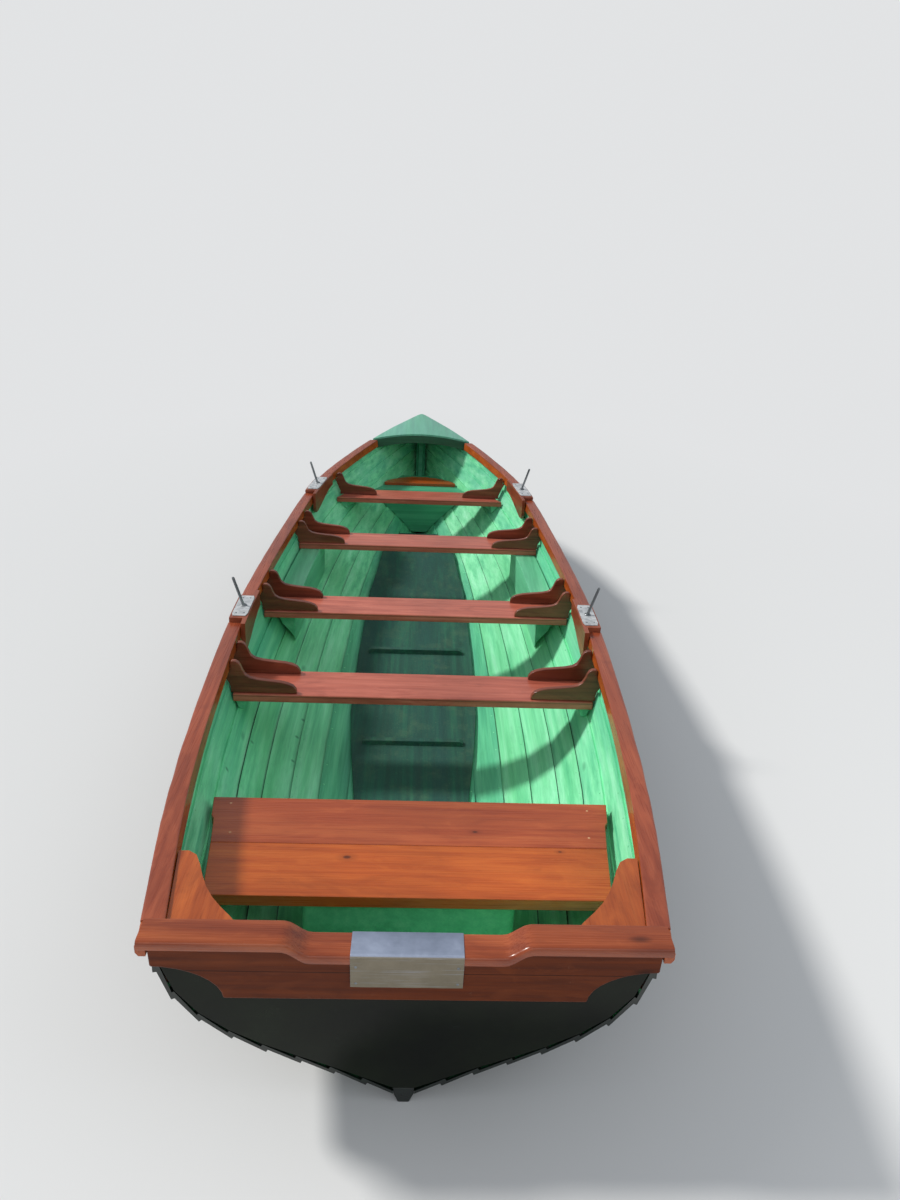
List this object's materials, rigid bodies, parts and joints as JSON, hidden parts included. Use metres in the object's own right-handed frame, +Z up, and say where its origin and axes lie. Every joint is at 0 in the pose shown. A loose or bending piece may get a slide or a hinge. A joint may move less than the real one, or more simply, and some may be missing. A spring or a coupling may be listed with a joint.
{
  "type": "rowing boat",
  "caption": "Open wooden rowing boat with lapped planks, thwarts on knees, pin rowlocks, side boxes, a small foredeck and a transom notched for an outboard motor.",
  "frame": {"origin": "centre of the overall box, on the ground under the keel", "axes": "+Y towards the bow, +X to starboard, +Z up"},
  "size_m": [1.6768, 5.571, 0.853],
  "materials": {
    "varnished_wood": "gloss varnish over red-brown wood",
    "green_paint": "brushed green paint on wood",
    "floor_paint": "matt dark green paint, rough underfoot",
    "dark_paint": "gloss near-black green paint",
    "deck_paint": "satin blue-green paint",
    "aluminium": "plain sheet, lightly weathered",
    "galvanised_steel": "dull zinc coating"
  },
  "bodies": {
    "root": {"bow_seat": "varnished_wood", "bow_tank": "green_paint", "cleat_aft_port": "green_paint", "cleat_aft_starboard": "green_paint", "cleat_fore_port": "green_paint", "cleat_fore_starboard": "green_paint", "deck_beam": "deck_paint", "floor_panel": "floor_paint", "foredeck": "deck_paint", "inwale_port": "varnished_wood", "inwale_starboard": "varnished_wood", "keel": "dark_paint", "knee_aft_aft_edge_port": "varnished_wood", "knee_aft_aft_edge_starboard": "varnished_wood", "knee_aft_fore_edge_port": "varnished_wood", "knee_aft_fore_edge_starboard": "varnished_wood", "knee_fore_port": "varnished_wood", "knee_fore_starboard": "varnished_wood", "knee_second_aft_edge_port": "varnished_wood", "knee_second_aft_edge_starboard": "varnished_wood", "knee_second_fore_edge_port": "varnished_wood", "knee_second_fore_edge_starboard": "varnished_wood", "knee_third_aft_edge_port": "varnished_wood", "knee_third_aft_edge_starboard": "varnished_wood", "knee_third_fore_edge_port": "varnished_wood", "knee_third_fore_edge_starboard": "varnished_wood", "lower_planking_port": "green_paint", "lower_planking_starboard": "green_paint", "middle_planking_port": "green_paint", "middle_planking_starboard": "green_paint", "motor_plate": "aluminium", "outwale_port": "varnished_wood", "outwale_starboard": "varnished_wood", "quarter_knee_port": "varnished_wood", "quarter_knee_starboard": "varnished_wood", "rowlock_block_aft_port": "varnished_wood", "rowlock_block_aft_starboard": "varnished_wood", "rowlock_block_fore_port": "varnished_wood", "rowlock_block_fore_starboard": "varnished_wood", "rowlock_plate_aft_port": "galvanised_steel", "rowlock_plate_aft_starboard": "galvanised_steel", "rowlock_plate_fore_port": "galvanised_steel", "rowlock_plate_fore_starboard": "galvanised_steel", "seat_bearer_port": "green_paint", "seat_bearer_starboard": "green_paint", "seat_box": "green_paint", "seat_plank_aft": "varnished_wood", "seat_plank_fore": "varnished_wood", "side_box_port": "green_paint", "side_box_starboard": "green_paint", "stem": "dark_paint", "thwart_aft": "varnished_wood", "thwart_fore": "varnished_wood", "thwart_second": "varnished_wood", "thwart_third": "varnished_wood", "transom": "dark_paint", "transom_inner_board": "varnished_wood", "transom_outer_pad": "varnished_wood", "upper_planking_port": "green_paint", "upper_planking_starboard": "green_paint"}
  },
  "joints": []
}
